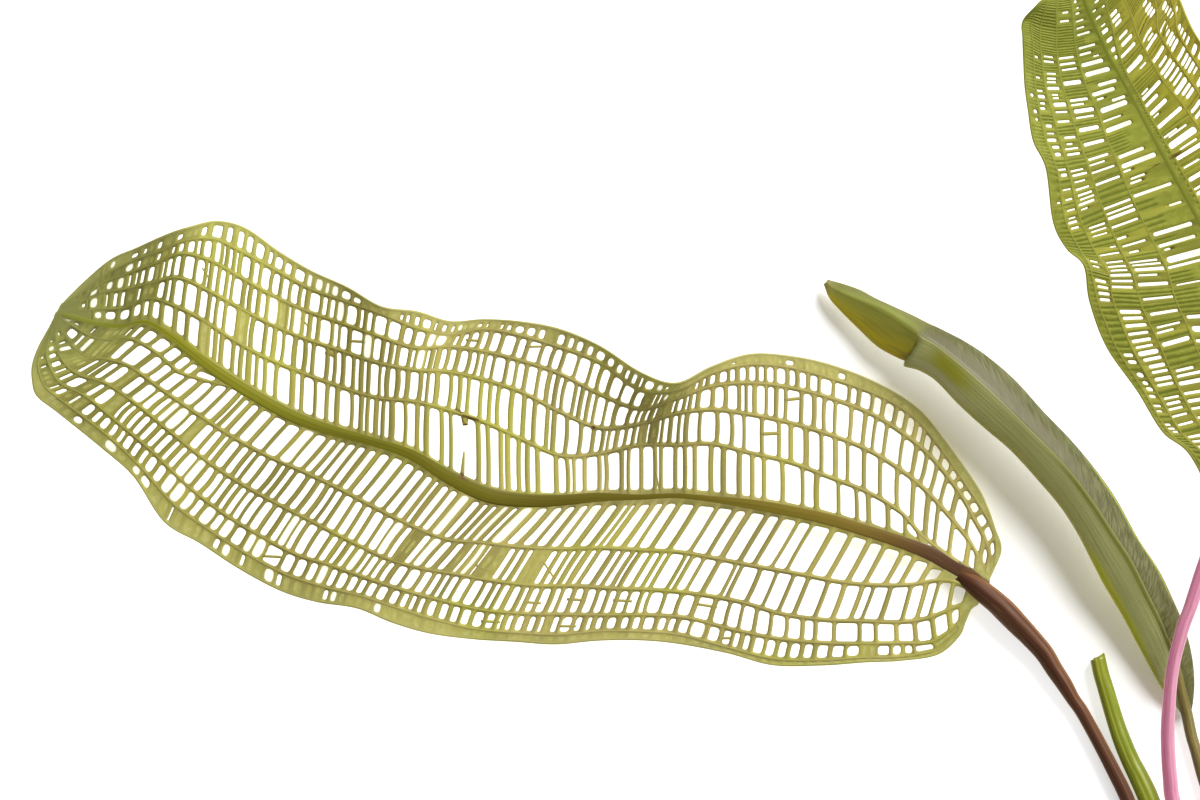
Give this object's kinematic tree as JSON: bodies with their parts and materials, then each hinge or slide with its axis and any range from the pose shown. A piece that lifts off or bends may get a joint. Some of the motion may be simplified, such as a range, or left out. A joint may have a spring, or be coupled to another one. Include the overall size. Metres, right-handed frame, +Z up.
{
  "type": "madagascar lace plant",
  "caption": "Water plant lying flat: skeleton leaves of open veins on long stalks, a folded young leaf, a forked flower stalk, a corm and roots.",
  "frame": {"origin": "centre of the plan box, on the surface the plant lies on", "axes": "+Z up from the surface, +X from the large leaf's tip towards its base, +Y away from the roots"},
  "size_m": [0.3238, 0.292, 0.018],
  "materials": {
    "lace_leaf": "satin, translucent network of veins",
    "upper_leaf": "satin, translucent network of veins",
    "folded_leaf": "satin leaf skin",
    "brown_stalk": "satin, wet",
    "olive_stalk": "satin, wet",
    "pink_stalk": "satin, wet",
    "flower": "matte",
    "green_stalk": "satin, wet",
    "corm": "rough skin",
    "root": "matte"
  },
  "bodies": {
    "root": {"lace_leaf_blade": "lace_leaf", "upper_leaf_blade": "upper_leaf", "folded_leaf_blade": "folded_leaf", "lace_leaf_stalk": "brown_stalk", "upper_leaf_stalk": "olive_stalk", "folded_leaf_stalk": "olive_stalk", "flower_stalk": "pink_stalk", "flower_spike_1": "flower", "flower_spike_2": "flower", "cut_stalk": "green_stalk", "corm": "corm", "root_1": "root", "root_2": "root", "root_3": "root", "root_4": "root", "root_5": "root", "root_6": "root", "root_7": "root", "root_8": "root", "root_9": "root", "root_10": "root"}
  },
  "joints": []
}
